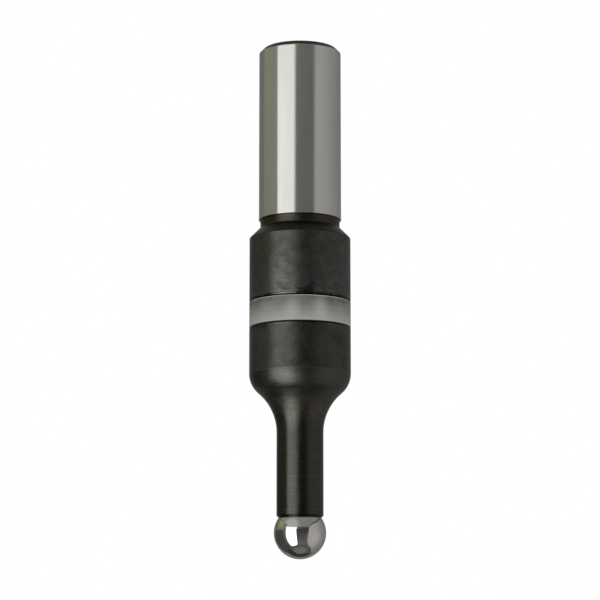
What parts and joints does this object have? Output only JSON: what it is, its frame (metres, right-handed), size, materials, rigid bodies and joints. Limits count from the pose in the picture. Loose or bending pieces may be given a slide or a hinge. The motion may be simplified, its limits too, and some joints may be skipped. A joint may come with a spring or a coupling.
{
  "type": "optical edge finder",
  "caption": "Spindle-mounted edge finder: ground cylindrical shank, black body with a lit window ring, and a spring-held ball at the tip of a slim stem.",
  "frame": {"origin": "the lowest point of the ball, on the tool's axis", "axes": "+Z along the axis from the ball to the shank's end, as held in a vertical spindle; the tool is round, so X and Y are alike"},
  "size_m": [0.0196, 0.0196, 0.1],
  "materials": {
    "ground_steel": "satin",
    "black_oxide_steel": "satin",
    "polished_steel": "polished",
    "frosted_window": "satin",
    "spring_wire": "satin",
    "nickel_brass": "satin",
    "contact_brass": "polished",
    "seal_rubber": "matte",
    "moulded_plastic": "matte",
    "board_laminate": "satin",
    "lamp_lens": "gloss",
    "resistor_ceramic": "satin",
    "battery_jacket": "satin"
  },
  "bodies": {
    "shank": {"shank_body": "ground_steel", "battery_spring": "spring_wire"},
    "cell": {"battery": "battery_jacket"},
    "probe": {"seal_ring": "seal_rubber", "thread_sleeve": "nickel_brass", "light_ring": "frosted_window", "contact_guard": "moulded_plastic", "battery_contact": "contact_brass", "circuit_board": "board_laminate", "leds": "lamp_lens", "resistor": "resistor_ceramic", "contact_spring": "spring_wire", "probe_body": "black_oxide_steel", "anchor_pin": "spring_wire"},
    "spring": {"tension_spring": "spring_wire"},
    "tip": {"pull_stud": "spring_wire", "ball": "polished_steel"}
  },
  "joints": [
    {"name": "thread_travel", "type": "slide", "parent": "shank", "child": "cell", "axis": [0, 0, -1], "range_m": [0, 0.005], "deforming": ["battery_spring"]},
    {"name": "probe_unscrew", "type": "hinge", "parent": "cell", "child": "probe", "pos_m": [0, 0, 0.0524], "axis": [0, 0, -1], "range_deg": [0, 1801]},
    {"name": "ball_pull", "type": "slide", "parent": "probe", "child": "spring", "axis": [0, 0, -1], "range_m": [0, 0.003], "stiffness_N_per_m": 950, "springref_m": -0.0045, "deforming": ["tension_spring"]},
    {"name": "ball_tilt", "type": "hinge", "parent": "spring", "child": "tip", "pos_m": [0.00409, 0, 0.00794], "axis": [0, -1, 0], "range_deg": [0, 15], "stiffness_Nm_per_rad": 0.016, "springref_deg": -63.03}
  ],
  "couplings": [
    {"joint": "probe_unscrew", "follows": "thread_travel", "rad_per_m": 6283.2}
  ]
}
